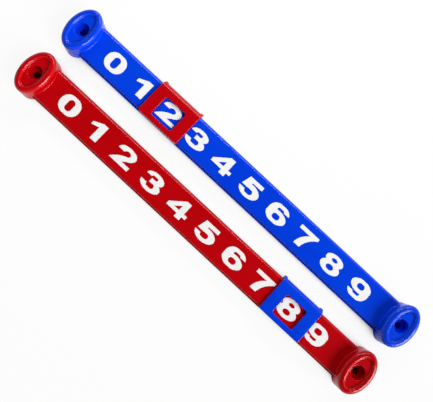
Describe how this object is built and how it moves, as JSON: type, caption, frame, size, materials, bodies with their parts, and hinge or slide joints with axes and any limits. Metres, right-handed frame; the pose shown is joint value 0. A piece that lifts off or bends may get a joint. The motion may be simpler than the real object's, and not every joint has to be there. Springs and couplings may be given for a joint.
{
  "type": "foosball score counter",
  "caption": "Slide score counters for a foosball table: flat plastic bars with an oval screw cup at each end, white numerals, and a clip-on window slider of the other colour.",
  "frame": {"origin": "bottom centre of the pair's bounding box, on the plane of the cups' feet", "axes": "+X along the bars from 0 to 9, +Y towards the tops of the numerals, +Z out of the faces"},
  "size_m": [0.3168, 0.0756, 0.016],
  "materials": {
    "red_plastic": "glossy",
    "blue_plastic": "glossy",
    "white_print": "satin"
  },
  "bodies": {
    "counter_pair": {"red_bar": "red_plastic", "blue_bar": "blue_plastic", "red_numeral_0": "white_print", "red_numeral_1": "white_print", "red_numeral_2": "white_print", "red_numeral_3": "white_print", "red_numeral_4": "white_print", "red_numeral_5": "white_print", "red_numeral_6": "white_print", "red_numeral_7": "white_print", "red_numeral_8": "white_print", "red_numeral_9": "white_print", "blue_numeral_0": "white_print", "blue_numeral_1": "white_print", "blue_numeral_2": "white_print", "blue_numeral_3": "white_print", "blue_numeral_4": "white_print", "blue_numeral_5": "white_print", "blue_numeral_6": "white_print", "blue_numeral_7": "white_print", "blue_numeral_8": "white_print", "blue_numeral_9": "white_print"},
    "red_window_slider": {"red_slider": "red_plastic"},
    "blue_window_slider": {"blue_slider": "blue_plastic"}
  },
  "joints": [
    {"name": "red_slider_slide", "type": "slide", "parent": "counter_pair", "child": "red_window_slider", "axis": [1, 0, 0], "range_m": [-0.0519, 0.1845]},
    {"name": "blue_slider_slide", "type": "slide", "parent": "counter_pair", "child": "blue_window_slider", "axis": [1, 0, 0], "range_m": [-0.2055, 0.0309]}
  ]
}
